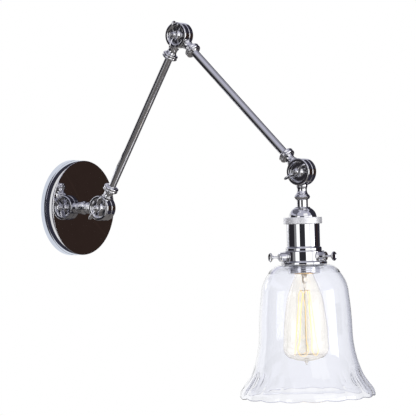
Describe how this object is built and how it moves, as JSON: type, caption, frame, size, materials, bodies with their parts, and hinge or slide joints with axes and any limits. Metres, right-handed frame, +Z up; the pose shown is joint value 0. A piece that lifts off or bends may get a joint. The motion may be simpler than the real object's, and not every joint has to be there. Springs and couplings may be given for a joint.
{
  "type": "swing arm wall sconce",
  "caption": "Polished wall sconce: round canopy, folding arms on friction knuckles with wing screws, metal lamp holder and a fluted clear glass bell shade over a filament bulb.",
  "frame": {"origin": "centre of the canopy's back, on the wall", "axes": "+Y into the wall, so the lamp reaches out towards -Y; +Z up; the arms lie in the plane X = 0"},
  "size_m": [0.162, 0.4502, 0.4589],
  "materials": {
    "chrome": "mirror polished",
    "satin_metal": "satin",
    "zinc_plate": "zinc plated",
    "ground_green": "dyed green",
    "connector_plastic": "moulded",
    "fibre": "pressed fibre",
    "lead_insulation": "matt",
    "ceramic": "glazed",
    "brass": "plain",
    "clear_glass": "clear, faint lavender",
    "bulb_glass": "clear, faint amber",
    "black_glass": "gloss",
    "solder": "dull",
    "filament": "glowing",
    "support_wire": "drawn"
  },
  "bodies": {
    "canopy": {"canopy": "chrome", "crossbar": "zinc_plate", "nipple": "zinc_plate", "nipple_nuts": "zinc_plate", "canopy_nut": "zinc_plate", "canopy_lock_washer": "zinc_plate", "ground_screw": "ground_green", "wire_connectors": "connector_plastic"},
    "base_knuckle": {"base_stem": "chrome", "base_collar": "chrome", "base_washer": "fibre"},
    "lower_arm": {"lower_arm_foot": "chrome", "lower_arm_foot_collar": "chrome", "lower_arm_tube": "chrome", "lower_arm_leads": "lead_insulation", "lower_arm_end_collar": "chrome", "lower_arm_end": "chrome", "elbow_washer": "fibre"},
    "base_wing": {"base_wing_screw": "chrome"},
    "upper_arm": {"upper_arm_foot": "chrome", "upper_arm_foot_collar": "chrome", "upper_arm_tube": "chrome", "upper_arm_leads": "lead_insulation", "upper_arm_end_collar": "chrome", "upper_arm_end": "chrome", "head_washer": "fibre"},
    "elbow_wing": {"elbow_wing_screw": "chrome"},
    "lamp_head": {"head_stem": "chrome", "head_cap": "chrome", "head_nipple": "zinc_plate", "cap_nut": "zinc_plate", "clamp_ring": "satin_metal", "socket_shell": "chrome", "socket_insulator": "ceramic", "screw_shell": "brass", "centre_contact": "brass", "gallery": "chrome", "gallery_nut": "chrome", "shade_glass": "clear_glass"},
    "head_wing": {"head_wing_screw": "chrome"},
    "bulb": {"bulb_glass": "bulb_glass", "bulb_cap": "brass", "bulb_insulator": "black_glass", "bulb_contact": "solder", "bulb_stem": "bulb_glass", "bulb_filament": "filament", "bulb_supports": "support_wire"},
    "shade_screw_a": {"shade_screw_a": "chrome"},
    "shade_screw_b": {"shade_screw_b": "chrome"},
    "shade_screw_c": {"shade_screw_c": "chrome"}
  },
  "joints": [
    {"name": "base_swivel", "type": "hinge", "parent": "canopy", "child": "base_knuckle", "pos_m": [0, -0.03, 0], "axis": [0, -1, 0], "range_deg": [-90, 90]},
    {"name": "base_tilt", "type": "hinge", "parent": "base_knuckle", "child": "lower_arm", "pos_m": [0, -0.05, 0], "axis": [1, 0, 0], "range_deg": [-28, 52]},
    {"name": "elbow_tilt", "type": "hinge", "parent": "lower_arm", "child": "upper_arm", "pos_m": [0, -0.1745, 0.21783], "axis": [-1, 0, 0], "range_deg": [-25, 150]},
    {"name": "head_tilt", "type": "hinge", "parent": "upper_arm", "child": "lamp_head", "pos_m": [0, -0.35907, 0.04728], "axis": [1, 0, 0], "range_deg": [-160, 55]},
    {"name": "base_wing_turn", "type": "hinge", "parent": "lower_arm", "child": "base_wing", "pos_m": [0, -0.05, 0], "axis": [-1, 0, 0], "range_deg": [0, 360]},
    {"name": "elbow_wing_turn", "type": "hinge", "parent": "upper_arm", "child": "elbow_wing", "pos_m": [0, -0.1745, 0.21783], "axis": [-1, 0, 0], "range_deg": [0, 360]},
    {"name": "head_wing_turn", "type": "hinge", "parent": "lamp_head", "child": "head_wing", "pos_m": [0, -0.35907, 0.04728], "axis": [-1, 0, 0], "range_deg": [0, 360]},
    {"name": "shade_screw_a_turn", "type": "hinge", "parent": "lamp_head", "child": "shade_screw_a", "pos_m": [-0.02987, -0.34472, -0.05434], "axis": [-0.8536, 0.5206, -0.02], "range_deg": [0, 360]},
    {"name": "shade_screw_b_turn", "type": "hinge", "parent": "lamp_head", "child": "shade_screw_b", "pos_m": [0.03073, -0.3462, -0.05429], "axis": [0.878, 0.4783, -0.0184], "range_deg": [0, 360]},
    {"name": "shade_screw_c_turn", "type": "hinge", "parent": "lamp_head", "child": "shade_screw_c", "pos_m": [-0.00085, -0.39791, -0.0523], "axis": [-0.0244, -0.999, 0.0384], "range_deg": [0, 360]},
    {"name": "bulb_turn", "type": "hinge", "parent": "lamp_head", "child": "bulb", "pos_m": [0, -0.36329, -0.06264], "axis": [0, -0.0384, -0.9993], "range_deg": [0, 360]}
  ]
}
